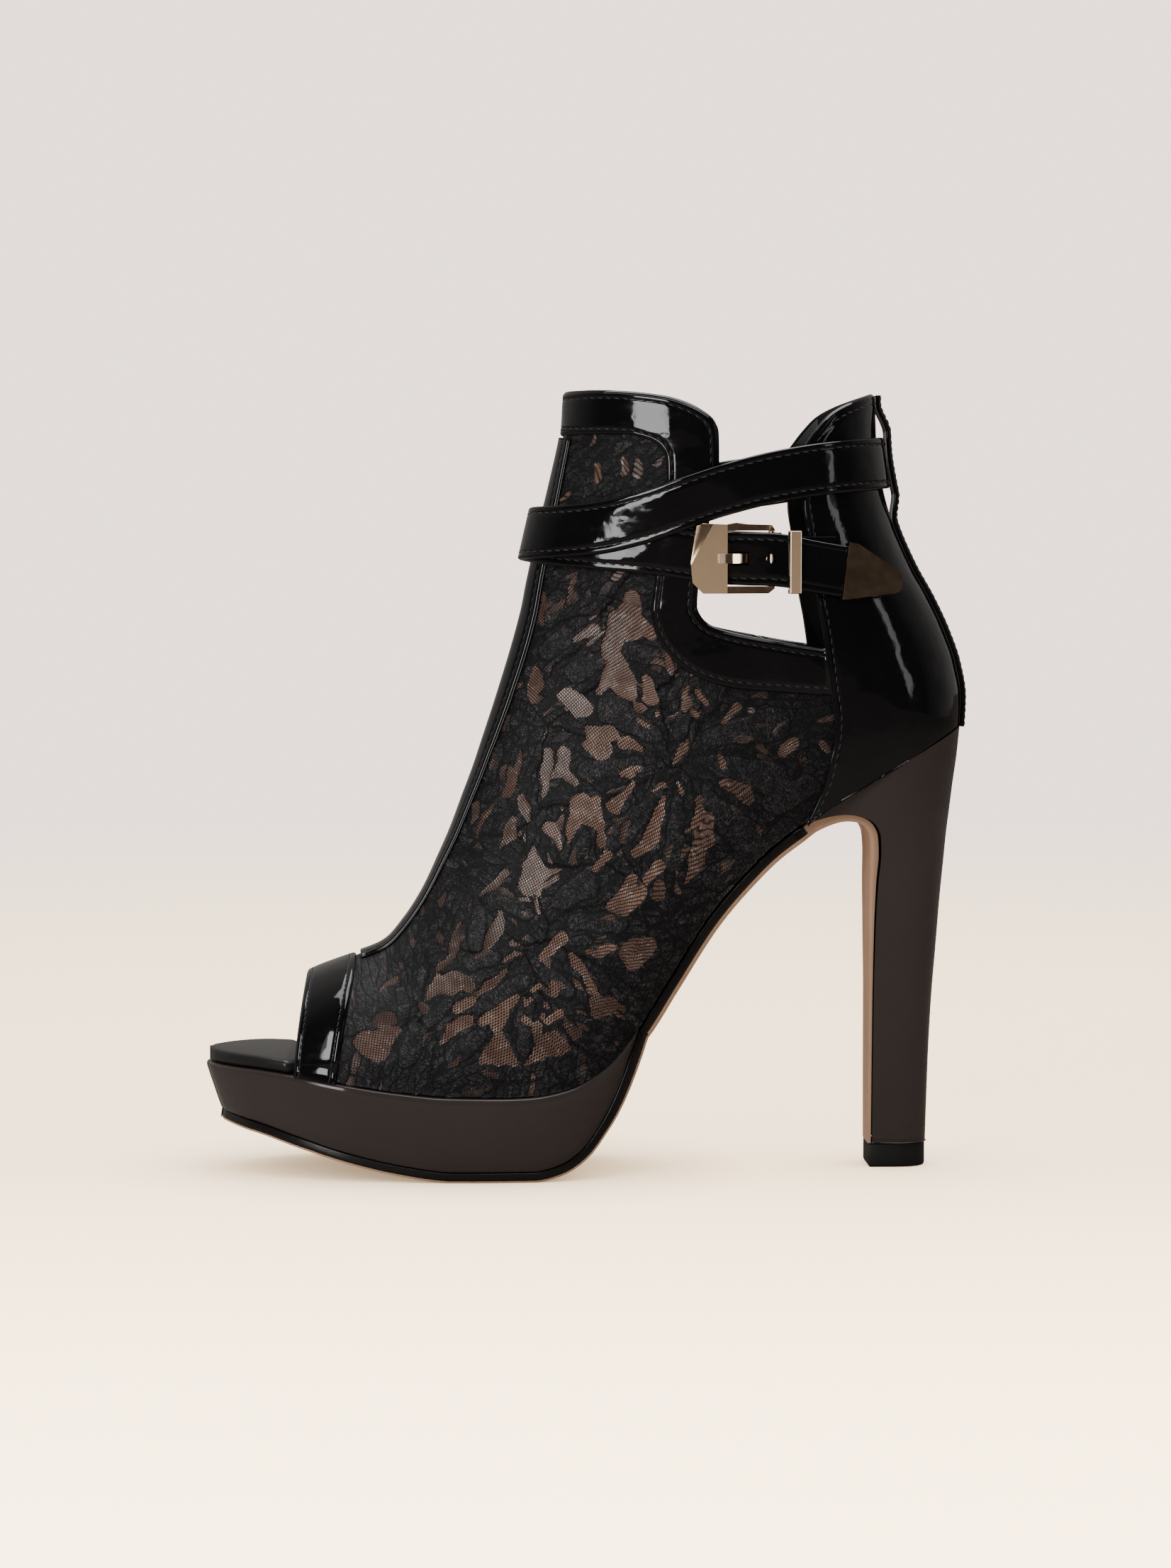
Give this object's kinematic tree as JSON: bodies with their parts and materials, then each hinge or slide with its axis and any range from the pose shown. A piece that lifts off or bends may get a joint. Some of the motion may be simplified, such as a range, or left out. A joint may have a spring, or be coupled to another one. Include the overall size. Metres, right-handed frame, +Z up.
{
  "type": "peep-toe platform ankle boot",
  "caption": "High-heeled lace ankle boot with open toe, platform, patent trims, cut-out sides and a crossed, buckled ankle strap; left shoe.",
  "frame": {"origin": "under the middle of the shoe's bounding box, on the floor", "axes": "-X to the toe, +X to the heel, -Y to the outer side with the buckle, +Y to the inner side, +Z up"},
  "size_m": [0.2442, 0.0788, 0.2486],
  "materials": {
    "lace_fabric": "black floral lace over a nude lining, black lining inside",
    "black_patent": "black patent, glossy",
    "padded_lining": "black, smooth, softly padded",
    "platform_wrap": "black, semi-gloss",
    "tan_sole": "tan, satin",
    "heel_rubber": "black, matte",
    "rose_gold": "pale rose gold, satin faces and bright edges"
  },
  "bodies": {
    "root": {"outsole": "tan_sole", "platform": "platform_wrap", "heel": "platform_wrap", "heel_tip": "heel_rubber", "insole": "padded_lining", "upper": "lace_fabric", "toe_band": "black_patent", "collar_band": "black_patent", "quarter": "black_patent", "throat_strip": "black_patent", "back_strip": "black_patent", "ankle_strap": "black_patent", "chape_strap": "black_patent", "buckle_frame": "rose_gold", "buckle_prong": "rose_gold", "keeper": "rose_gold", "strap_tip": "rose_gold"}
  },
  "joints": []
}
